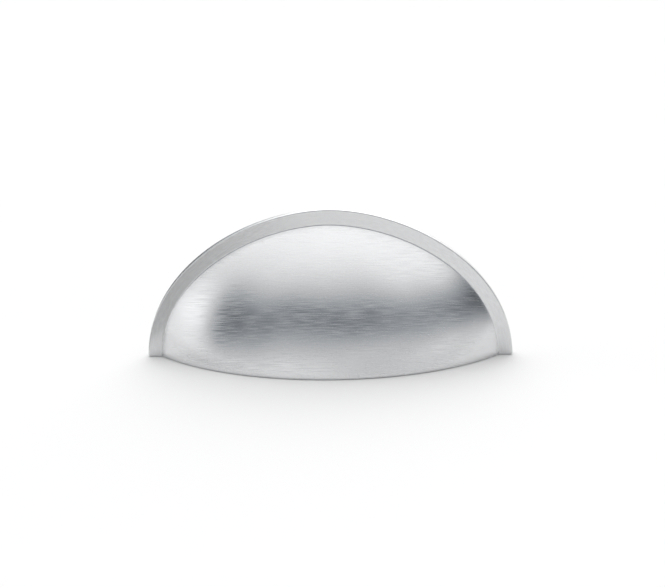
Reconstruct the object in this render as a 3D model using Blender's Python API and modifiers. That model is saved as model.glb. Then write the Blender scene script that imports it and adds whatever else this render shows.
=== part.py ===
# Cup pull: a half-moon drawer handle cast in one piece.
# It stands on the edge of its lip and feet, at z = 0. +X runs along the handle, and +Y is
# the back, where it meets the drawer front. All lengths are in metres.

from math import atan2, cos, hypot, pi, radians, sin, sqrt, tan

import bmesh
import bpy

MM = 0.001

# Overall form
OVERALL_LENGTH = 92.0 * MM          # across the two feet of the flange
OVERALL_HEIGHT = 37.8 * MM          # from the lip's edge to the crown of the flange
FLANGE_THICKNESS = 2.3 * MM
CUP_REACH = 21.3 * MM               # from the flange's front to the lip, before it is rounded
CUP_WALL = 2.0 * MM
FLANGE_WIDTH_AT_FEET = 3.35 * MM
FLANGE_WIDTH_AT_CROWN = 3.95 * MM

# The half-moon outline is half an ellipse with its shoulders drawn in a little
SHOULDER_DRAW = 0.05
CROWN_SOFTNESS = 0.15

# Each section of the cup is part of an ellipse round a centre far behind the flange
CENTRE_DROP = 0.25                  # of that centre below the lip, as a share of the height

# Cast edges
JUNCTION_FILLET = 0.55 * MM         # where the cup springs from the flange
LIP_ROUND = 0.55 * MM
LIP_EASE = 0.1 * MM                 # what that round takes off the cup's reach
FLANGE_FRONT_ROUND = 0.7 * MM
FLANGE_BACK_ROUND = 0.25 * MM
CAVITY_MOUTH_ROUND = 0.4 * MM

# Screw bosses behind the cup, for M4 machine screws from inside the drawer
SCREW_CENTRES = 64.0 * MM
BOSS_HEIGHT = 9.5 * MM              # of the screw axes above the standing edge
BOSS_TIP_RADIUS = 4.1 * MM
BOSS_DRAFT = radians(1.5)
BOSS_SETBACK = 0.2 * MM             # from the flange's back, so that the flange seats first
TAPPING_RADIUS = 1.65 * MM
TAPPING_DEPTH = 7.0 * MM
DRILL_POINT = radians(118.0)
BORE_CHAMFER = 0.45 * MM

# Fineness of the surfaces
STATIONS = 30                       # sections from a foot to the crown
CUP_STEPS = 12                      # along each section of the cup
ROUND_STEPS = 3                     # along each small round
TURNED_STEPS = 32                   # around a boss or a bore

# Places worked out from the sizes
BACK_Y = (FLANGE_THICKNESS + CUP_REACH - LIP_EASE) / 2
FRONT_Y = BACK_Y - FLANGE_THICKNESS
CUP_HALF_WIDTH = OVERALL_LENGTH / 2 - FLANGE_WIDTH_AT_FEET
CUP_HEIGHT = OVERALL_HEIGHT - FLANGE_WIDTH_AT_CROWN
LIP_RADIUS = (CUP_HALF_WIDTH ** 2 + CUP_REACH ** 2) / (2 * CUP_REACH)
LIP_CENTRE_BACK = LIP_RADIUS - CUP_REACH    # of the lip's arc, behind the flange's front

MERGE_DISTANCE = 0.001 * MM
OVERRUN = 2.0 * MM                  # how far a cutter runs past the face it opens


def clear_scene():
    for thing in list(bpy.data.objects):
        bpy.data.objects.remove(thing, do_unlink=True)


def make_collection(name):
    collection = bpy.data.collections.new(name)
    bpy.context.scene.collection.children.link(collection)
    return collection


def add_object(name, bm, collection):
    """Put a finished bmesh into the scene as a named object."""
    bmesh.ops.remove_doubles(bm, verts=bm.verts, dist=MERGE_DISTANCE)
    bmesh.ops.recalc_face_normals(bm, faces=bm.faces)
    mesh = bpy.data.meshes.new(name)
    bm.to_mesh(mesh)
    bm.free()
    thing = bpy.data.objects.new(name, mesh)
    collection.objects.link(thing)
    return thing


def hide_as_cutter(thing):
    thing.hide_render = True
    thing.display_type = 'WIRE'


def add_middle(collection):
    """The plane that every mirrored shape is mirrored across."""
    middle = bpy.data.objects.new("middle", None)
    collection.objects.link(middle)
    return middle


def mirror_across(middle, thing):
    mirror = thing.modifiers.new("other_half", 'MIRROR')
    mirror.mirror_object = middle
    mirror.merge_threshold = MERGE_DISTANCE


def place_on_screw_axis(thing, y):
    """Turn a shape made along +Z to run along +Y on the axis of the screw at +X."""
    thing.location = (SCREW_CENTRES / 2, y, BOSS_HEIGHT)
    thing.rotation_euler = (-pi / 2, 0.0, 0.0)


def add_boolean(thing, operation, other):
    boolean = thing.modifiers.new(other.name, 'BOOLEAN')
    boolean.operation = operation
    boolean.solver = 'EXACT'
    boolean.object = other


def outline_point(half_width, height, angle):
    """x and z of the half-moon outline. The angle is 0 at the foot and pi/2 at the crown."""
    across = cos(angle)
    softness = CROWN_SOFTNESS ** 2
    draw = ((across ** 2 + softness) / (1 + softness)) ** SHOULDER_DRAW
    return half_width * across * draw, height * sin(angle)


def cup_depth(x, inset):
    """Depth of the cup before the flange's front at a distance x from the middle.

    The lip is a circular arc in plan, and the inset moves it in by a wall."""
    radius = LIP_RADIUS - inset
    return sqrt(max(radius ** 2 - x ** 2, LIP_CENTRE_BACK ** 2)) - LIP_CENTRE_BACK


def cup_half_width(inset):
    """Half the chord of the lip's arc on the flange's front."""
    return sqrt((LIP_RADIUS - inset) ** 2 - LIP_CENTRE_BACK ** 2)


def cup_height(inset):
    """Height of the cup on the flange's front. A wall comes in there as far as at the feet."""
    return CUP_HEIGHT - (CUP_HALF_WIDTH - cup_half_width(inset))


def wall_arc(x, depth, height, lip_round, top_round):
    """Points up the cup in the plane at x, from the lip to the flange's front.

    They lie on the ellipse through both ends whose centre is behind the flange on the axis of
    the lip's arc, and they stop short of both ends by the room that the small rounds take."""
    if depth <= 0.0 or height <= 0.0:
        return [(x, FRONT_Y, 0.0)] * (CUP_STEPS + 1)
    back = LIP_CENTRE_BACK
    drop = CENTRE_DROP * height
    scale = (depth + back) ** 2 * (height + drop) ** 2 - back ** 2 * drop ** 2
    reach = sqrt(scale / ((height + drop) ** 2 - drop ** 2))
    rise = sqrt(scale / ((depth + back) ** 2 - back ** 2))
    lip_angle = atan2(drop / rise, (depth + back) / reach)
    top_angle = atan2((height + drop) / rise, back / reach)
    whole = top_angle - lip_angle
    turn = whole / hypot(depth, height)
    from_angle = lip_angle + min(turn * lip_round, 0.3 * whole)
    to_angle = top_angle - min(turn * top_round, 0.3 * whole)
    points = []
    for step in range(CUP_STEPS + 1):
        angle = from_angle + (to_angle - from_angle) * step / CUP_STEPS
        points.append((x, FRONT_Y + back - reach * cos(angle), rise * sin(angle) - drop))
    return points


def towards(start, end, distance):
    """The point at a distance from start on the way to end, no further than 45% of it."""
    length = hypot(*(b - a for a, b in zip(start, end)))
    share = 0.0 if length == 0.0 else min(distance / length, 0.45)
    return tuple(a + (b - a) * share for a, b in zip(start, end))


def soft_corner(before, corner, after):
    """A small round from one point to another, tangent to both lines through the corner."""
    points = []
    for step in range(ROUND_STEPS + 1):
        t = step / ROUND_STEPS
        points.append(tuple((1 - t) ** 2 * a + 2 * t * (1 - t) * b + t ** 2 * c
                            for a, b, c in zip(before, corner, after)))
    return points


def round_corner(previous, corner, following, radius):
    return soft_corner(towards(corner, previous, radius), corner,
                       towards(corner, following, radius))


def shell_section(angle):
    """The closed section of the casting at one station between the foot and the crown.

    It runs from the cavity's mouth out over the flange, down the outside of the cup, round
    the lip and up the inside."""
    edge_x, edge_z = outline_point(OVERALL_LENGTH / 2, OVERALL_HEIGHT, angle)
    outer_x, outer_z = outline_point(CUP_HALF_WIDTH, CUP_HEIGHT, angle)
    inner_x, inner_z = outline_point(cup_half_width(CUP_WALL), cup_height(CUP_WALL), angle)
    outer_depth = cup_depth(outer_x, 0.0)
    inner_depth = cup_depth(inner_x, CUP_WALL)

    mouth_back = (inner_x, BACK_Y, inner_z)
    edge_back = (edge_x, BACK_Y, edge_z)
    edge_front = (edge_x, FRONT_Y, edge_z)
    junction = (outer_x, FRONT_Y, outer_z)
    lip_outer = (outer_x, FRONT_Y - outer_depth, 0.0)
    lip_inner = (inner_x, FRONT_Y - inner_depth, 0.0)
    inner_top = (inner_x, FRONT_Y, inner_z)

    outer_wall = wall_arc(outer_x, outer_depth, outer_z, LIP_ROUND, JUNCTION_FILLET)
    inner_wall = wall_arc(inner_x, inner_depth, inner_z, LIP_ROUND, 0.0)
    outer_wall.reverse()

    section = []
    section += round_corner(inner_top, mouth_back, edge_back, CAVITY_MOUTH_ROUND)
    section += round_corner(mouth_back, edge_back, edge_front, FLANGE_BACK_ROUND)
    section += round_corner(edge_back, edge_front, junction, FLANGE_FRONT_ROUND)
    section += soft_corner(towards(junction, edge_front, JUNCTION_FILLET), junction,
                           outer_wall[0])
    section += outer_wall[1:-1]
    section += soft_corner(outer_wall[-1], lip_outer, towards(lip_outer, lip_inner, LIP_ROUND))
    section += soft_corner(towards(lip_inner, lip_outer, LIP_ROUND), lip_inner, inner_wall[0])
    section += inner_wall[1:]
    return section


def skin_sections(bm, sections):
    """Join closed sections of the same number of points, one to the next."""
    rings = [[bm.verts.new(point) for point in section] for section in sections]
    for ring, following in zip(rings, rings[1:]):
        for i in range(len(ring)):
            j = (i + 1) % len(ring)
            bm.faces.new((ring[i], ring[j], following[j], following[i]))
    return rings


def build_shell(collection, middle):
    """Flange and cup as one skinned surface. Half is made, and the other half mirrored."""
    bm = bmesh.new()
    angles = [pi / 2 * station / STATIONS for station in range(STATIONS + 1)]
    rings = skin_sections(bm, [shell_section(angle) for angle in angles])
    bm.faces.new(rings[0])
    shell = add_object("pull_body", bm, collection)
    mirror_across(middle, shell)
    return shell


def build_wall_core(collection, middle):
    """The space behind the middle of the cup's wall, filled up to the flange's back."""
    inset = CUP_WALL / 2
    sections = []
    for station in range(STATIONS + 1):
        x, z = outline_point(cup_half_width(inset), cup_height(inset),
                             pi / 2 * station / STATIONS)
        wall = wall_arc(x, cup_depth(x, inset), z, 0.0, 0.0)
        sections.append([(x, BACK_Y, 0.0)] + wall + [(x, BACK_Y, z)])
    bm = bmesh.new()
    skin_sections(bm, sections)
    core = add_object("wall_core", bm, collection)
    mirror_across(middle, core)
    hide_as_cutter(core)
    return core


def build_bosses(collection, middle, core):
    """Two tapered bosses that start just behind the flange's back and end in the wall."""
    length = FLANGE_THICKNESS + CUP_REACH
    bm = bmesh.new()
    bmesh.ops.create_cone(bm, cap_ends=True, segments=TURNED_STEPS, depth=length,
                          radius1=BOSS_TIP_RADIUS + tan(BOSS_DRAFT) * length,
                          radius2=BOSS_TIP_RADIUS)
    bosses = add_object("bosses", bm, collection)
    place_on_screw_axis(bosses, BACK_Y - BOSS_SETBACK - length / 2)
    mirror_across(middle, bosses)
    add_boolean(bosses, 'INTERSECT', core)
    hide_as_cutter(bosses)
    return bosses


def build_bores(collection, middle):
    """Blind tapping holes with a drill point and a chamfered mouth, as cutters."""
    mouth_radius = TAPPING_RADIUS + BORE_CHAMFER
    point_length = TAPPING_RADIUS / tan(DRILL_POINT / 2)
    profile = [(0.0, OVERRUN), (mouth_radius + OVERRUN, OVERRUN),
               (TAPPING_RADIUS, -BORE_CHAMFER), (TAPPING_RADIUS, -TAPPING_DEPTH),
               (0.0, -TAPPING_DEPTH - point_length)]
    bm = bmesh.new()
    turned = [bm.verts.new((radius, 0.0, z)) for radius, z in profile]
    for first, second in zip(turned, turned[1:]):
        bm.edges.new((first, second))
    bores = add_object("bores", bm, collection)
    screw = bores.modifiers.new("turned", 'SCREW')
    screw.steps = TURNED_STEPS
    screw.render_steps = TURNED_STEPS
    screw.use_merge_vertices = True
    screw.merge_threshold = MERGE_DISTANCE
    place_on_screw_axis(bores, BACK_Y - BOSS_SETBACK)
    mirror_across(middle, bores)
    hide_as_cutter(bores)
    return bores


def satin_chrome():
    material = bpy.data.materials.new("satin_chrome")
    material.use_nodes = True
    surface = material.node_tree.nodes["Principled BSDF"]
    surface.inputs["Base Color"].default_value = (0.62, 0.63, 0.65, 1.0)
    surface.inputs["Metallic"].default_value = 1.0
    surface.inputs["Roughness"].default_value = 0.32
    return material


def main():
    clear_scene()
    parts = make_collection("cup_pull")
    cutters = make_collection("cutters")
    middle = add_middle(cutters)
    body = build_shell(parts, middle)
    bosses = build_bosses(cutters, middle, build_wall_core(cutters, middle))
    add_boolean(body, 'UNION', bosses)
    add_boolean(body, 'DIFFERENCE', build_bores(cutters, middle))
    body.data.materials.append(satin_chrome())
    body.data.shade_smooth()
    body.data.set_sharp_from_angle(angle=radians(35))


main()
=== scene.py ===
from math import cos, pi, radians, sin, sqrt, tan

import bmesh
import bpy
import numpy as np
from mathutils import Matrix, Vector


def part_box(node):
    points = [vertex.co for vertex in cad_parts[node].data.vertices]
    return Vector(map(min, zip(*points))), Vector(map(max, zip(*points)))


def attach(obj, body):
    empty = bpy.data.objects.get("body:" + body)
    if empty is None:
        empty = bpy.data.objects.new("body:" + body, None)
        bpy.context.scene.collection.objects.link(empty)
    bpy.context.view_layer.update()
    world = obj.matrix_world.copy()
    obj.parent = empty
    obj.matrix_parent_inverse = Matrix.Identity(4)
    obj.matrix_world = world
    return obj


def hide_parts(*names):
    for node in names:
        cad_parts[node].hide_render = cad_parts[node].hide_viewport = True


# The look of a half-moon cup pull in satin chrome, standing on its open lower edge on a pale
# studio floor. Lengths are in metres. +X runs along the pull and +Y out of its back.

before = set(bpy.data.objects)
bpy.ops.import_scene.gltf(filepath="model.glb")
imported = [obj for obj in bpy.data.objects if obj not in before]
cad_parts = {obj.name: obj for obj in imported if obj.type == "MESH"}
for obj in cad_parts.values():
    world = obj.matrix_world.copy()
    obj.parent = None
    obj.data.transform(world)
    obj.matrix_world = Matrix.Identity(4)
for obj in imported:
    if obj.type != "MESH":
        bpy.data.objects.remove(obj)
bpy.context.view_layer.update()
bodyLow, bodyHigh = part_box("pull_body")
print("stage 1: frame loaded")


# Helpers for curves and surfaces, all on whole arrays

def outline(halfWidth, height, angle):
    # Half an ellipse with its shoulders drawn in: z is height * sin(angle), and x is
    # halfWidth * c * ((c^2 + e^2) / (1 + e^2))^draw, with c = cos(angle), e the softness
    c = np.cos(angle)
    softness = casting["crownSoftness"] ** 2
    draw = ((c ** 2 + softness) / (1 + softness)) ** casting["shoulderDraw"]
    return halfWidth * c * draw, height * np.sin(angle)


def pointsOf(x, y, z):
    return np.stack(np.broadcast_arrays(x, y, z), -1).astype(float)


def towards(start, end, distance, most=0.45):
    # start + (end - start) * distance / length, going no further than a share of the way
    way = end - start
    length = np.linalg.norm(way, axis=-1, keepdims=True)
    share = np.where(length > 0, np.minimum(distance / np.maximum(length, 1e-12), most), 0)
    return start + way * share


def straight(start, end, count):
    # Points strictly between two ends, closer together near the ends: t = (1 - cos) / 2
    t = (1 - np.cos(np.linspace(0, pi, count + 2)[1:-1])) / 2
    return start[:, None] + (end - start)[:, None] * t[None, :, None]


def softCorner(before, corner, after, count):
    # The quadratic curve (1-t)^2 a + 2t(1-t) b + t^2 c, tangent to both lines at the corner
    t = np.linspace(0, 1, count)[None, :, None]
    a, b, c = before[:, None], corner[:, None], after[:, None]
    return (1 - t) ** 2 * a + 2 * t * (1 - t) * b + t ** 2 * c


def roundCorner(previous, corner, following, reach, count):
    # Starts and ends at the given distances before and after the corner
    return softCorner(towards(corner, previous, reach[0]), corner,
                      towards(corner, following, reach[1]), count)


def smoothStep(value, low, high):
    t = np.clip((value - low) / (high - low), 0, 1)
    return t * t * (3 - 2 * t)


def gridFaces(rows, columns, closed):
    # Quads of a grid whose vertex (i, j) is number i * columns + j
    i, j = np.meshgrid(np.arange(rows - 1), np.arange(columns if closed else columns - 1),
                       indexing="ij")
    k = (j + 1) % columns
    quads = np.stack([i * columns + j, i * columns + k,
                      (i + 1) * columns + k, (i + 1) * columns + j], -1)
    return quads.reshape(-1, 4)


def newObject(name, mesh):
    thing = bpy.data.objects.new(name, mesh)
    bpy.context.scene.collection.objects.link(thing)
    return thing


def closeMesh(mesh, distance=2e-8):
    # Weld seams and poles, and turn every face outwards
    bm = bmesh.new()
    bm.from_mesh(mesh)
    bmesh.ops.remove_doubles(bm, verts=bm.verts, dist=distance)
    bmesh.ops.dissolve_degenerate(bm, edges=bm.edges, dist=distance)
    bmesh.ops.recalc_face_normals(bm, faces=bm.faces)
    bm.to_mesh(mesh)
    bm.free()


# Shader maths as Python expressions

class Wire:
    # One output socket: arithmetic on it adds Math nodes
    def __init__(self, sheet, socket):
        self.sheet = sheet
        self.socket = socket

    def math(self, operation, *values):
        return self.sheet.add("ShaderNodeMath", {"operation": operation},
                              dict(enumerate(values)))

    def __add__(self, other):
        return self.math("ADD", self, other)

    __radd__ = __add__

    def __mul__(self, other):
        return self.math("MULTIPLY", self, other)

    __rmul__ = __mul__

    def __sub__(self, other):
        return self.math("SUBTRACT", self, other)

    def __rsub__(self, other):
        return self.math("SUBTRACT", other, self)

    def step(self, low, high):
        # 0 below low, 1 above high, and a smooth rise between
        return self.sheet.add("ShaderNodeMapRange", {"interpolation_type": "SMOOTHSTEP"},
                              {"Value": self, "From Min": low, "From Max": high})


class Sheet:
    # A node tree that is written by code
    def __init__(self, tree):
        self.tree = tree
        tree.nodes.clear()

    def add(self, kind, settings=None, inputs=None, output=0):
        # A node of one kind: its settings first, a ramp's stops among them, then its sockets.
        # An output node has nothing to give back.
        node = self.tree.nodes.new(kind)
        for name, value in (settings or {}).items():
            if name == "stops":
                self.setStops(node.color_ramp, value)
            else:
                setattr(node, name, value)
        for name, value in (inputs or {}).items():
            if isinstance(value, Wire):
                self.tree.links.new(value.socket, node.inputs[name])
            else:
                node.inputs[name].default_value = value
        return Wire(self, node.outputs[output]) if len(node.outputs) else None

    def setStops(self, ramp, stops):
        while len(ramp.elements) < len(stops):
            ramp.elements.new(1.0)
        for element, (place, level) in zip(ramp.elements, stops):
            element.position = place
            element.color = (level, level, level, 1)

    def part(self, vector, axis):
        return self.add("ShaderNodeSeparateXYZ", None, {"Vector": vector}, axis)

    def vector(self, x, y, z):
        return self.add("ShaderNodeCombineXYZ", None, {"X": x, "Y": y, "Z": z})

    def blend(self, factor, first, second):
        # Sockets 0, 6 and 7 of a color mix are its factor and its two colors, and 2 comes out
        return self.add("ShaderNodeMix", {"data_type": "RGBA"},
                        {0: factor, 6: first, 7: second}, 2)

    def finish(self, shader, kind="ShaderNodeOutputMaterial"):
        self.add(kind, None, {"Surface": shader})


def newMaterial(name):
    material = bpy.data.materials.new(name)
    material.use_nodes = True
    return material, Sheet(material.node_tree)


satin = {
    "lean": 0.27,                 # rise of the lines' planes for each metre to the front
    "color": (0.656, 0.660, 0.667, 1),
    "calmFrom": 0.026,            # from the middle of the pull
    "calmTo": 0.040,
    "coarseAlong": 90,            # a second, coarser set of lines, per metre
    "coarseAcross": 2700,
    "coarseSlice": 3.7,
    "coarseShare": 0.35,
    "colorSpread": 1.2,
    "cup": {"calm": 0.65, "roughness": 0.238, "roughnessSwing": 0.33, "linesPerMetre": 4000,
            "linesLongPerMetre": 240, "bumpStrength": 1.0, "bumpDistance": 0.000002,
            "streak": 0.006},
    "flange": {"calm": 0.0, "roughness": 0.237, "roughnessSwing": 0.06, "linesPerMetre": 2900,
               "linesLongPerMetre": 600, "bumpStrength": 1.0, "bumpDistance": 0.000002,
               "streak": 0.06},
}


def satinChrome(name, finish):
    # Fine lines along the brush coordinates, mainly in the roughness, and also in the bump
    # and the color. They grow calmer towards the cup's ends, which a brush reaches less.
    material, sheet = newMaterial(name)
    uv = sheet.add("ShaderNodeUVMap", {"uv_map": "brush"})
    along, across = sheet.part(uv, 0), sheet.part(uv, 1)
    fine = sheet.add("ShaderNodeTexNoise", None, {
        "Vector": sheet.vector(along * finish["linesLongPerMetre"],
                               across * finish["linesPerMetre"], 0.0),
        "Scale": 1.0, "Detail": 0.0, "Roughness": 0.5})
    coarse = sheet.add("ShaderNodeTexNoise", None, {
        "Vector": sheet.vector(along * satin["coarseAlong"], across * satin["coarseAcross"],
                               satin["coarseSlice"]),
        "Scale": 1.0, "Detail": 0.0, "Roughness": 0.5})
    ends = along.math("ABSOLUTE", along).step(satin["calmFrom"], satin["calmTo"])
    force = 1 - ends * finish["calm"]
    bump = sheet.add("ShaderNodeBump", None, {
        "Strength": finish["bumpStrength"], "Distance": finish["bumpDistance"],
        "Height": fine * force})
    streak = (fine - 0.5) + (coarse - 0.5) * satin["coarseShare"]
    roughness = finish["roughness"] + streak * force * finish["roughnessSwing"]
    dark = tuple(value * (1 - finish["streak"]) for value in satin["color"][:3]) + (1,)
    light = tuple(value * (1 + finish["streak"]) for value in satin["color"][:3]) + (1,)
    color = sheet.blend((0.5 + streak * satin["colorSpread"]).step(0, 1), dark, light)
    sheet.finish(sheet.add("ShaderNodeBsdfPrincipled", None, {
        "Base Color": color, "Metallic": 1.0, "Roughness": roughness, "Normal": bump}))
    return material


cast = {
    "color": (0.60, 0.61, 0.62, 1),
    "roughness": 0.42,
    "roughnessSwing": 0.1,
    "patchScale": 180.0,
    "grainScale": 2600,
    "bumpStrength": 0.3,
    "bumpDistance": 0.00002,
}


def platedCasting():
    # Fine grain in the bump, and larger patches in the roughness
    material, sheet = newMaterial("platedCasting")
    place = sheet.add("ShaderNodeTexCoord", None, None, 3)
    grain = sheet.add("ShaderNodeTexNoise", None, {
        "Vector": place, "Scale": cast["grainScale"], "Detail": 3.0, "Roughness": 0.6})
    patch = sheet.add("ShaderNodeTexNoise", None, {
        "Vector": place, "Scale": cast["patchScale"], "Detail": 2.0, "Roughness": 0.5})
    bump = sheet.add("ShaderNodeBump", None, {
        "Strength": cast["bumpStrength"], "Distance": cast["bumpDistance"], "Height": grain})
    roughness = cast["roughness"] + (patch - 0.5) * cast["roughnessSwing"]
    sheet.finish(sheet.add("ShaderNodeBsdfPrincipled", None, {
        "Base Color": cast["color"], "Metallic": 1.0, "Roughness": roughness,
        "Normal": bump}))
    return material


finishes = [satinChrome("satinCup", satin["cup"]), platedCasting(),
            satinChrome("satinFlange", satin["flange"])]
satinSlot, castSlot, flangeSlot = range(3)


def finishMesh(mesh, slots):
    # One of the three finishes for each face
    for finish in finishes:
        mesh.materials.append(finish)
    mesh.polygons.foreach_set("material_index", np.asarray(slots, np.int32))


print("stage 2: finishes made")


# The casting: flange, cup and lip as one skinned surface

casting = {
    "flangeThickness": 0.0023,
    "cupWall": 0.0020,
    "flangeWidthAtFeet": 0.00335,
    "flangeWidthAtCrown": 0.00395,
    "shoulderDraw": 0.05,
    "crownSoftness": 0.15,
    "junctionFillet": 0.00035,
    "centreDrop": 0.25,
    "lipRound": 0.00055,
    "lipEase": 0.0001,
    "flangeFrontRound": (0.00030, 0.00045),   # down the edge, and across the front
    "flangeBackRound": (0.00025, 0.00025),
    "cavityMouthRound": (0.0004, 0.0004),
    "footRound": 0.0003,
    "footCorner": 0.0007,
    "stations": 330,
    "crowding": 0.6,
    "footStations": 12,
    "sharpAngle": radians(40),
    "mostTurn": 0.3,              # of the wall's arc, that a small round may take
    "archSamples": 2000,
    "tiny": 1e-6,                 # a length that stands for nothing
    "counts": {"outerWall": 62, "innerWall": 40, "mouth": 6, "back": 6, "backCorner": 6,
               "edge": 4, "frontCorner": 11, "flange": 8, "fillet": 9, "lip": 7,
               "underLip": 4, "behind": 3},
}

halfLength = (bodyHigh.x - bodyLow.x) / 2
fullHeight = bodyHigh.z - bodyLow.z
backY = bodyHigh.y
frontY = backY - casting["flangeThickness"]
cupReach = frontY - bodyLow.y + casting["lipEase"]
cupHalfWidth = halfLength - casting["flangeWidthAtFeet"]
cupHeight = fullHeight - casting["flangeWidthAtCrown"]
lipRadius = (cupHalfWidth ** 2 + cupReach ** 2) / (2 * cupReach)
lipCentreBack = lipRadius - cupReach


def cupDepth(x, inset):
    # Circular arc in plan: sqrt(r^2 - x^2) less the distance of its centre behind the flange
    radius = lipRadius - inset
    return np.sqrt(np.maximum(radius ** 2 - x ** 2, lipCentreBack ** 2)) - lipCentreBack


def cavityHalfWidth(inset):
    return sqrt((lipRadius - inset) ** 2 - lipCentreBack ** 2)


def archHeight(inset):
    # A wall comes in on the flange's front as far at the crown as at the feet
    return cupHeight - (cupHalfWidth - cavityHalfWidth(inset))


def cupArch(inset, x):
    # Height of the cup's arch at x, read off its outline
    angle = np.linspace(0, pi / 2, casting["archSamples"])
    archX, archZ = outline(cavityHalfWidth(inset), archHeight(inset), angle)
    return np.interp(np.abs(x), archX[::-1], archZ[::-1])


def wallEllipse(depth, height):
    # The ellipse of the wall's section, through the lip and the junction. Its centre is on
    # the axis of the lip's arc, and below the lip by a share of the height. Gives its reach
    # and rise, its angles at the lip and at the junction, and the drop of its centre.
    back = lipCentreBack
    drop = casting["centreDrop"] * height
    scale = (depth + back) ** 2 * (height + drop) ** 2 - back ** 2 * drop ** 2
    reach = np.sqrt(scale / ((height + drop) ** 2 - drop ** 2))
    rise = np.sqrt(scale / ((depth + back) ** 2 - back ** 2))
    lipAngle = np.arctan2(drop / rise, (depth + back) / reach)
    topAngle = np.arctan2((height + drop) / rise, back / reach)
    return reach, rise, lipAngle, topAngle, drop


def wallY(x, z, inset):
    # y of the cup's wall over a point of the flange plane: the same ellipse at each x
    depth = np.maximum(cupDepth(x, inset), casting["tiny"])
    height = np.maximum(cupArch(inset, x), casting["tiny"])
    reach, rise, _, _, drop = wallEllipse(depth, height)
    fall = 1 - ((z + drop) / rise) ** 2
    return frontY + lipCentreBack - reach * np.sqrt(np.clip(fall, 0, 1))


def ellipseArc(x, depth, height, lowRound, topRound, count):
    # (x, front + back - reach * cos(a), rise * sin(a) - drop), for a from the lip to the
    # junction, short of both by the turns that the small rounds take. Where depth and height
    # come down to nothing, at the feet, the arc shrinks with them.
    tiny, mostTurn = casting["tiny"], casting["mostTurn"]
    someDepth, someHeight = np.maximum(depth, tiny), np.maximum(height, tiny)
    reach, rise, lipAngle, topAngle, drop = wallEllipse(someDepth, someHeight)
    whole = topAngle - lipAngle
    turn = whole / np.hypot(someDepth, someHeight)
    fromAngle = lipAngle + np.minimum(turn * lowRound, mostTurn * whole)
    toAngle = topAngle - np.minimum(turn * topRound, mostTurn * whole)
    t = np.linspace(0, 1, count)[None, :]
    a = fromAngle[:, None] + (toAngle - fromAngle)[:, None] * t
    forward = (reach[:, None] * np.cos(a) - lipCentreBack) * (depth / someDepth)[:, None]
    upward = (rise[:, None] * np.sin(a) - drop[:, None]) * (height / someHeight)[:, None]
    return pointsOf(x[:, None], frontY - forward, upward)


def castingSections(angle):
    # One closed section for each station angle, from the cavity's mouth round the flange,
    # down the cup, round the lip and up the inside. Also gives each point's run by name.
    counts = casting["counts"]
    edgeX, edgeZ = outline(halfLength, fullHeight, angle)
    low = np.clip(casting["footCorner"] - edgeZ, 0, None)   # the feet's outer corners, rounded
    edgeX -= np.sign(edgeX) * (casting["footCorner"]
                               - np.sqrt(casting["footCorner"] ** 2 - low ** 2))
    outerX, outerZ = outline(cupHalfWidth, cupHeight, angle)
    innerX, innerZ = outline(cavityHalfWidth(casting["cupWall"]),
                             archHeight(casting["cupWall"]), angle)
    outerDepth = cupDepth(outerX, 0)
    innerDepth = cupDepth(innerX, casting["cupWall"])

    mouthBack = pointsOf(innerX, backY, innerZ)
    edgeBack = pointsOf(edgeX, backY, edgeZ)
    edgeFront = pointsOf(edgeX, frontY, edgeZ)
    junction = pointsOf(outerX, frontY, outerZ)
    lipOuter = pointsOf(outerX, frontY - outerDepth, 0)
    lipInner = pointsOf(innerX, frontY - innerDepth, 0)
    innerTop = pointsOf(innerX, frontY, innerZ)

    outerWall = ellipseArc(outerX, outerDepth, outerZ, casting["lipRound"],
                           casting["junctionFillet"], counts["outerWall"])[:, ::-1]
    innerWall = ellipseArc(innerX, innerDepth, innerZ, casting["lipRound"], 0,
                           counts["innerWall"])
    mouth = roundCorner(innerTop, mouthBack, edgeBack, casting["cavityMouthRound"],
                        counts["mouth"])
    backCorner = roundCorner(mouthBack, edgeBack, edgeFront, casting["flangeBackRound"],
                             counts["backCorner"])
    frontCorner = roundCorner(edgeBack, edgeFront, junction, casting["flangeFrontRound"],
                              counts["frontCorner"])
    fillet = softCorner(towards(junction, edgeFront, casting["junctionFillet"]), junction,
                        outerWall[:, 0], counts["fillet"])
    lipFront = softCorner(outerWall[:, -1], lipOuter,
                          towards(lipOuter, lipInner, casting["lipRound"]), counts["lip"])
    lipBack = softCorner(towards(lipInner, lipOuter, casting["lipRound"]), lipInner,
                         innerWall[:, 0], counts["lip"])
    runs = [
        ("mouth", mouth),
        ("back", straight(mouth[:, -1], backCorner[:, 0], counts["back"])),
        ("edge", backCorner),
        ("edge", straight(backCorner[:, -1], frontCorner[:, 0], counts["edge"])),
        ("edge", frontCorner),
        ("flange", straight(frontCorner[:, -1], fillet[:, 0], counts["flange"])),
        ("fillet", fillet),
        ("cup", outerWall[:, 1:-1]),
        ("lip", lipFront),
        ("lip", straight(lipFront[:, -1], lipBack[:, 0], counts["underLip"])),
        ("lip", lipBack),
        ("inside", innerWall[:, 1:]),
        ("inside", straight(innerTop, mouth[:, 0], counts["behind"])),
    ]
    names = [name for name, run in runs for _ in range(run.shape[1])]
    return np.concatenate([run for _, run in runs], 1), names


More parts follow.
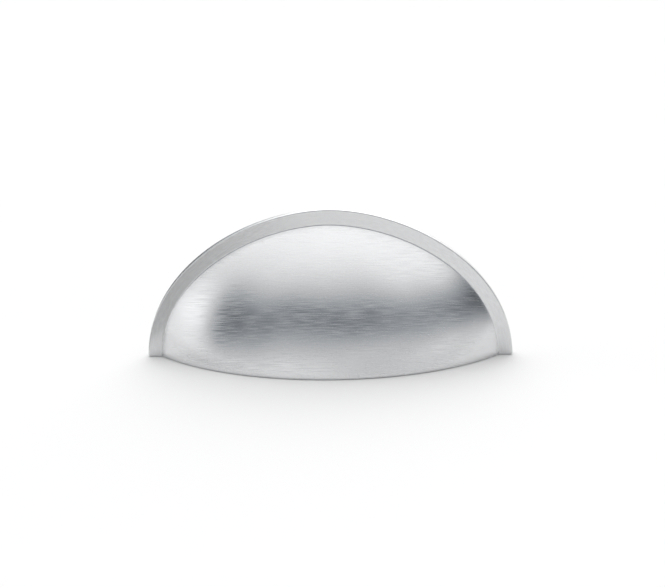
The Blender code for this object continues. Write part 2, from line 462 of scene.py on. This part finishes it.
def roundFeet(points, names):
    # Below the height r, the flange draws in by r - sqrt(r^2 - (r - z)^2) from its edge,
    # front, back and mouth, along the outline that its section has at the foot
    r = casting["footRound"]
    low = np.clip(r - points[..., 2], 0, r)
    inset = r - np.sqrt(r ** 2 - low ** 2)
    weight = np.isin(names, ["mouth", "back", "edge", "flange"]).astype(float)
    fillets = [j for j, name in enumerate(names) if name == "fillet"]
    weight[fillets] = np.linspace(1, 0, len(fillets))
    behind = casting["counts"]["behind"]
    weight[-behind:] = np.linspace(0.25, 0.75, behind)
    for side, row in ((1, 0), (-1, -1)):
        ring = points[row, :, :2]
        tangent = np.roll(ring, -1, 0) - np.roll(ring, 1, 0)
        normal = np.stack([tangent[:, 1], -tangent[:, 0]], -1)
        normal /= np.maximum(np.linalg.norm(normal, axis=-1, keepdims=True), 1e-9)
        centre = np.array([side * (halfLength - casting["flangeWidthAtFeet"]),
                           (backY + frontY) / 2])
        outward = np.sign(np.sum(normal * (ring - centre), -1, keepdims=True))
        near = (points[..., 0] * side > 0) * inset * weight[None]
        points[..., :2] -= near[..., None] * (normal * outward)[None]
    return points


def buildShell():
    r = max(casting["footRound"], casting["footCorner"])
    footAngle = np.arcsin(r * (1 - np.cos(np.linspace(0, pi / 2, casting["footStations"])))
                          / fullHeight)
    # The rest stand closer together towards the feet: u - c * sin(2 pi u) / (2 pi)
    u = np.linspace(0, 1, casting["stations"])
    u -= casting["crowding"] * np.sin(2 * pi * u) / (2 * pi)
    rest = footAngle[-1] + (pi - 2 * footAngle[-1]) * u
    angle = np.concatenate([footAngle[:-1], rest, pi - footAngle[:-1][::-1]])
    points, names = castingSections(angle)
    points = roundFeet(points, names)
    rows, columns = points.shape[:2]
    faces = gridFaces(rows, columns, closed=True)

    # Brush coordinates in metres: along the brush lines, and across them. On the cup the
    # lines lie in planes that lean back: z + lean * y is the same all along a line, and
    # across them goes the way up the middle section to the same plane.
    # On the flange and the lip they follow the arch, and across them goes the way round the
    # section, from the flange's front and from the lip.
    steps = np.linalg.norm(np.diff(points, axis=1), axis=-1)
    walked = np.concatenate([np.zeros((rows, 1)), np.cumsum(steps, 1)], 1)
    across = walked[:, [names.index("lip")]] - walked
    acrossFlange = walked[:, [names.index("flange")]] - walked
    archStep = np.linalg.norm(np.diff(points[:, names.index("flange")], axis=0), axis=-1)
    arch = np.concatenate([[0], np.cumsum(archStep)])[:, None] + np.zeros((1, columns))
    middle, wall = rows // 2, [j for j, name in enumerate(names) if name in ("fillet", "cup")]
    plane = points[..., 2] + satin["lean"] * points[..., 1]
    order = np.argsort(plane[middle, wall])
    up = np.interp(plane, plane[middle, wall][order], across[middle, wall][order])
    level = np.stack([points[..., 0], up], -1).reshape(-1, 2)
    onLip = np.stack([arch, across], -1).reshape(-1, 2)
    aroundFlange = np.stack([arch, acrossFlange], -1).reshape(-1, 2)

    kind = np.array([names[column] for column in faces[:, 0] % columns])
    onFlange = np.isin(kind, ["mouth", "back", "edge", "flange", "fillet"])
    brush = np.where((kind == "lip")[:, None, None], onLip[faces], level[faces])
    brush = np.where(onFlange[:, None, None], aroundFlange[faces], brush)

    mesh = bpy.data.meshes.new("shell")
    caps = [list(range(columns)), list(range((rows - 1) * columns, rows * columns))]
    mesh.from_pydata(points.reshape(-1, 3).tolist(), [], faces.tolist() + caps)
    layer = mesh.uv_layers.new(name="brush")
    capUv = points.reshape(-1, 3)[np.concatenate(caps)][:, :2]
    layer.data.foreach_set("uv", np.concatenate([brush.reshape(-1, 2), capUv]).ravel())
    slots = np.where(kind == "inside", castSlot, np.where(onFlange, flangeSlot, satinSlot))
    finishMesh(mesh, np.concatenate([slots, [flangeSlot, flangeSlot]]))
    closeMesh(mesh)
    return newObject("shell", mesh)


# The two screw bosses behind the cup, with their tapped holes

boss = {
    "screwCentres": 0.064,
    "height": 0.0095,
    "tipRadius": 0.0041,
    "draft": radians(1.5),
    "setback": 0.0002,
    "tipRound": 0.00025,
    "rootFillet": 0.0009,
    "sunkShare": 0.03,            # of the wall, by which the fillet's foot goes into it
    "steps": 64,
    "roundCount": 6,
    "sideCount": 6,
    "filletCount": 9,
}

thread = {
    "drillRadius": 0.00165,
    "majorRadius": 0.0020,
    "pitch": 0.0007,
    "depth": 0.0070,
    "fullThread": 0.0057,
    "chamfer": 0.00045,
    "drillPoint": radians(118),
    "overrun": 0.002,
    "steps": 48,
    "rings": 150,
}


def ringPoints(centreX, radius, y, turn):
    # Around the screw axis: x = centre + r * cos(turn), z = height + r * sin(turn)
    x = centreX + radius * np.cos(turn)
    z = boss["height"] + radius * np.sin(turn)
    return pointsOf(x, y, z)


def closedSurface(name, points):
    # A grid closed around its second parameter, whose first and last rows are poles
    mesh = bpy.data.meshes.new(name)
    faces = gridFaces(points.shape[0], points.shape[1], closed=True)
    mesh.from_pydata(points.reshape(-1, 3).tolist(), [], faces.tolist())
    layer = mesh.uv_layers.new(name="brush")
    flat = points.reshape(-1, 3)[faces.ravel()]
    layer.data.foreach_set("uv", flat[:, [0, 1]].ravel())
    finishMesh(mesh, np.full(len(faces), castSlot))
    closeMesh(mesh)
    return newObject(name, mesh)


def buildBoss(side):
    # The profile r(s), y(s) is turned about the screw axis, and its root follows the wall:
    # tip face, tip round, drafted side, fillet, and a foot that ends inside the wall
    turn = np.linspace(0, 2 * pi, boss["steps"], endpoint=False)
    centreX = side * boss["screwCentres"] / 2
    tipY = backY - boss["setback"]
    half = casting["cupWall"] / 2
    tip, tipRound = boss["tipRadius"], boss["tipRound"]

    def wallAt(radius, inset):
        x = centreX + radius * np.cos(turn)
        z = boss["height"] + radius * np.sin(turn)
        return wallY(x, z, inset)

    rootRadius = tip + np.tan(boss["draft"]) * (tipY - wallAt(tip, casting["cupWall"]))
    rootCorner = ringPoints(centreX, rootRadius, wallAt(rootRadius, casting["cupWall"]), turn)
    filletTop = rootCorner + np.array([0, boss["rootFillet"], 0])
    footRadius = rootRadius + boss["rootFillet"]
    sunk = boss["sunkShare"] * casting["cupWall"]
    filletFoot = ringPoints(centreX, footRadius,
                            wallAt(footRadius, casting["cupWall"]) - sunk, turn)
    rings = [ringPoints(centreX, tip * share, np.full_like(turn, tipY), turn)
             for share in (0, 0.5, 0.8)]
    corner = ringPoints(centreX, tip, tipY, turn)
    inner = ringPoints(centreX, tip - tipRound, tipY, turn)
    below = ringPoints(centreX, tip, tipY - tipRound, turn)
    for run in (softCorner(inner, corner, below, boss["roundCount"]),
                straight(below, filletTop, boss["sideCount"]),
                softCorner(filletTop, rootCorner, filletFoot, boss["filletCount"])):
        rings += list(run.transpose(1, 0, 2))
    rings += [ringPoints(centreX, footRadius * share, wallAt(footRadius * share, half), turn)
              for share in (1, 0.8, 0.6, 0.4, 0.2, 0)]
    return closedSurface("boss", np.array(rings))


def buildBore(side):
    # A hole as a height field round its axis: the radius at a depth d and turn a is
    # drill + (major - drill) * ridge(d / pitch - side * a / 2pi), and a cone at mouth and
    # bottom. A ridge is flat for a tenth of the pitch at its root and at its crest.
    turn = np.linspace(0, 2 * pi, thread["steps"], endpoint=False)
    deep = np.linspace(-thread["overrun"], thread["depth"], thread["rings"])
    d, a = np.meshgrid(deep, turn, indexing="ij")
    phase = np.mod(d / thread["pitch"] - side * a / (2 * pi), 1)
    ridge = np.clip(1.25 * np.abs(2 * phase - 1) - 0.125, 0, 1)
    fade = 1 - smoothStep(d, thread["fullThread"], thread["fullThread"] + thread["pitch"])
    threadDepth = thread["majorRadius"] - thread["drillRadius"]
    mouth = thread["drillRadius"] + thread["chamfer"] - d
    radius = np.maximum(thread["drillRadius"] + threadDepth * ridge * fade, mouth)
    tipY = backY - boss["setback"]
    centreX = side * boss["screwCentres"] / 2
    pointLength = thread["drillRadius"] / tan(thread["drillPoint"] / 2)
    body = ringPoints(centreX, radius, tipY - d, a)
    top = ringPoints(centreX, 0 * turn, tipY + thread["overrun"], turn)[None]
    bottom = ringPoints(centreX, 0 * turn, tipY - thread["depth"] - pointLength, turn)[None]
    return closedSurface("bore", np.concatenate([top, body, bottom]))


def combine(target, others):
    # Exact Booleans one after another, and the result as a plain mesh
    for operation, other in others:
        step = target.modifiers.new(other.name, "BOOLEAN")
        step.operation = operation
        step.solver = "EXACT"
        step.object = other
    bpy.context.view_layer.update()
    evaluated = target.evaluated_get(bpy.context.evaluated_depsgraph_get())
    mesh = bpy.data.meshes.new_from_object(evaluated)
    for thing in [target] + [other for _, other in others]:
        bpy.data.objects.remove(thing)
    return mesh


shell = buildShell()
print("stage 3: shell", len(shell.data.polygons), "faces")
steps = [("UNION", buildBoss(side)) for side in (1, -1)]
steps += [("DIFFERENCE", buildBore(side)) for side in (1, -1)]
pullMesh = combine(shell, steps)
pullMesh.name = "cup_pull_casting"
pull = newObject("cup_pull_casting", pullMesh)
print("stage 4: bosses and bores joined,", len(pullMesh.polygons), "faces")


pullMesh.shade_smooth()
pullMesh.set_sharp_from_angle(angle=casting["sharpAngle"])
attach(pull, "root")
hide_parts("pull_body")
print("stage 5: pull placed")


# Floor, light and camera

stage = {
    "floorSize": 6.0,
    "floorColor": (0.835, 0.835, 0.835, 1),
    "background": 1.0,
    "dimTint": (0.91, 1.00, 1.10, 1),   # of the light from the studio's dark parts
    "tintFades": (0.1, 0.9),            # levels between which that tint goes
}


def plainFace(name, corners, material):
    mesh = bpy.data.meshes.new(name)
    mesh.from_pydata(corners, [], [tuple(range(len(corners)))])
    mesh.materials.append(material)
    thing = newObject(name, mesh)
    return thing


def buildFloor():
    # A pale matt floor that is clear from below
    material, sheet = newMaterial("paleFloor")
    below = sheet.add("ShaderNodeNewGeometry", None, None, "Backfacing")
    matt = sheet.add("ShaderNodeBsdfDiffuse", None, {"Color": stage["floorColor"]})
    clear = sheet.add("ShaderNodeBsdfTransparent")
    sheet.finish(sheet.add("ShaderNodeMixShader", None, {0: below, 1: matt, 2: clear}))
    size = stage["floorSize"]
    return plainFace("floor", [(-size, -size, 0), (size, -size, 0), (size, size, 0),
                               (-size, size, 0)], material)


darkCards = {
    "places": [   # from and to, in degrees from the front round to the right, near, grey
        (-80.0, -10.6, 0.0502, 0.48),
        (-178.0, -120.0, 0.0480, 0.04),
    ],
    "fade": 18.0,
    "far": 3.0,
    "middle": (0.0, 0.0116),
    "height": 0.0003,
    "steps": 12,
}


def buildDarkCards():
    # Grey cards on the table, in front and behind on the left, that only the metal shows.
    # Each is a sector of a ring about the middle of the pull's foot line, with soft ends.
    half = darkCards["fade"] / 2
    for name, (start, end, near, grey) in zip("ab", darkCards["places"]):
        turn = np.radians(np.linspace(start - half, end + half, darkCards["steps"]))
        around = np.stack([np.sin(turn), -np.cos(turn)], -1)
        rim = np.concatenate([around * near, around[::-1] * darkCards["far"]])
        rim += np.array(darkCards["middle"])

        material, sheet = newMaterial("darkCard" + name)
        place = sheet.add("ShaderNodeTexCoord", None, None, 3)
        x = sheet.part(place, 0) - darkCards["middle"][0]
        y = sheet.part(place, 1) - darkCards["middle"][1]
        azimuth = x.math("ARCTAN2", x, 0 - y) * (180 / pi)
        begun = azimuth.step(start - half, start + half)
        ended = azimuth.step(end - half, end + half)
        shown = begun * (1 - ended)
        matt = sheet.add("ShaderNodeBsdfDiffuse", None, {"Color": (grey, grey, grey, 1)})
        clear = sheet.add("ShaderNodeBsdfTransparent")
        sheet.finish(sheet.add("ShaderNodeMixShader", None, {0: shown, 1: clear, 2: matt}))

        corners = pointsOf(rim[:, 0], rim[:, 1], darkCards["height"]).tolist()
        card = plainFace("dark_card_" + name, corners, material)
        card.visible_camera = False
        card.visible_diffuse = False
        card.visible_shadow = False


# What stands round the table. Each direction, in degrees round from the front towards the
# pull's right, has the levels of light from the table's edge up to straight overhead, at
# the heights given: a large soft light overhead, white walls low down, dark gaps between.
studio = {
    "heights": (0.0, 0.15, 0.30, 0.42, 0.54, 0.66, 0.80, 1.0),
    "most": 4.0,
    "levels": {
        -180: (1.20, 1.20, 1.90, 3.60, 4.00, 3.60, 2.80, 1.41),
        -160: (0.10, 0.10, 0.50, 2.40, 3.30, 3.20, 2.40, 1.41),
        -140: (0.60, 0.30, 0.20, 0.60, 1.50, 2.10, 1.90, 1.40),
        -120: (1.30, 0.63, 0.12, 0.10, 0.60, 1.43, 1.50, 1.39),
        -85: (1.20, 1.27, 1.65, 1.48, 1.29, 0.97, 1.12, 1.37),
        -65: (1.27, 0.57, 0.18, 0.20, 0.16, 0.53, 1.04, 1.38),
        -50: (1.17, 0.82, 0.45, 0.19, 0.29, 0.57, 0.98, 1.38),
        -25: (1.04, 1.09, 0.75, 0.54, 0.27, 0.27, 0.80, 1.40),
        25: (0.80, 0.75, 0.85, 0.49, 0.24, 0.31, 0.74, 1.40),
        65: (0.63, 1.10, 0.59, 0.34, 0.36, 0.77, 1.23, 1.39),
        85: (1.07, 0.80, 0.21, 0.18, 0.57, 1.20, 1.35, 1.40),
        100: (1.60, 0.00, 0.00, 0.00, 0.28, 1.04, 1.31, 1.41),
        130: (1.38, 0.54, 0.22, 0.35, 0.66, 0.90, 1.10, 1.43),
        155: (1.20, 1.10, 1.50, 2.80, 3.30, 3.10, 2.40, 1.41),
    },
}


def buildWorld():
    # Between two directions the levels pass smoothly from one ramp to the next. Only the
    # camera sees the plain white background: metal and glass show the studio's levels.
    world = bpy.data.worlds.new("studio")
    bpy.context.scene.world = world
    world.use_nodes = True
    sheet = Sheet(world.node_tree)
    direction = sheet.add("ShaderNodeTexCoord", None, None, "Generated")
    x, y, z = (sheet.part(direction, axis) for axis in range(3))
    azimuth = x.math("ARCTAN2", x, 0 - y) * (180 / pi)
    ramps = []
    for degrees in sorted(studio["levels"]):
        stops = [(height, level / studio["most"])
                 for height, level in zip(studio["heights"], studio["levels"][degrees])]
        ramps.append((degrees, sheet.add("ShaderNodeValToRGB", {"stops": stops}, {"Fac": z})))
    ramps.append((180, ramps[0][1]))
    level = ramps[0][1]
    for (start, _), (end, ramp) in zip(ramps, ramps[1:]):
        level = sheet.blend(azimuth.step(start, end), level, ramp)
    level = level * studio["most"]
    cameraRay, diffuseRay = (sheet.add("ShaderNodeLightPath", None, None, kind)
                             for kind in ("Is Camera Ray", "Is Diffuse Ray"))
    level = level * (1 - cameraRay) + cameraRay * stage["background"]
    plain = level.step(*stage["tintFades"]) + diffuseRay
    tint = sheet.blend(plain, stage["dimTint"], (1.0, 1.0, 1.0, 1))
    background = sheet.add("ShaderNodeBackground", None, {"Color": tint, "Strength": level})
    sheet.finish(background, "ShaderNodeOutputWorld")


photo = {
    "width": 665,
    "focalPixels": 2324.9,
    "distance": 0.575,
    "aim": (0.00103, 0.00175, 0.01833),
    "elevation": radians(14.914),
    "azimuth": radians(1.592),
    "roll": radians(-0.7806),
    "sensor": 36.0,
    "clip": (0.01, 50),
}


def buildCamera():
    data = bpy.data.cameras.new("camera")
    data.sensor_width = photo["sensor"]
    data.lens = photo["focalPixels"] * photo["sensor"] / photo["width"]
    data.clip_start, data.clip_end = photo["clip"]
    camera = newObject("camera", data)
    azimuth, elevation = photo["azimuth"], photo["elevation"]
    back = Vector((sin(azimuth) * cos(elevation), -cos(azimuth) * cos(elevation),
                   sin(elevation)))
    right = Vector((cos(azimuth), sin(azimuth), 0))
    up = back.cross(right)
    roll = photo["roll"]
    turnedRight = cos(roll) * right + sin(roll) * up
    turnedUp = -sin(roll) * right + cos(roll) * up
    place = Vector(photo["aim"]) + back * photo["distance"]
    camera.matrix_world = Matrix((
        (turnedRight.x, turnedUp.x, back.x, place.x),
        (turnedRight.y, turnedUp.y, back.y, place.y),
        (turnedRight.z, turnedUp.z, back.z, place.z),
        (0, 0, 0, 1)))
    bpy.context.scene.camera = camera


buildFloor()
buildDarkCards()
buildWorld()
buildCamera()
bpy.context.scene.view_settings.view_transform = "Standard"
print("stage 6: floor, light and camera set")

bpy.context.view_layer.update()
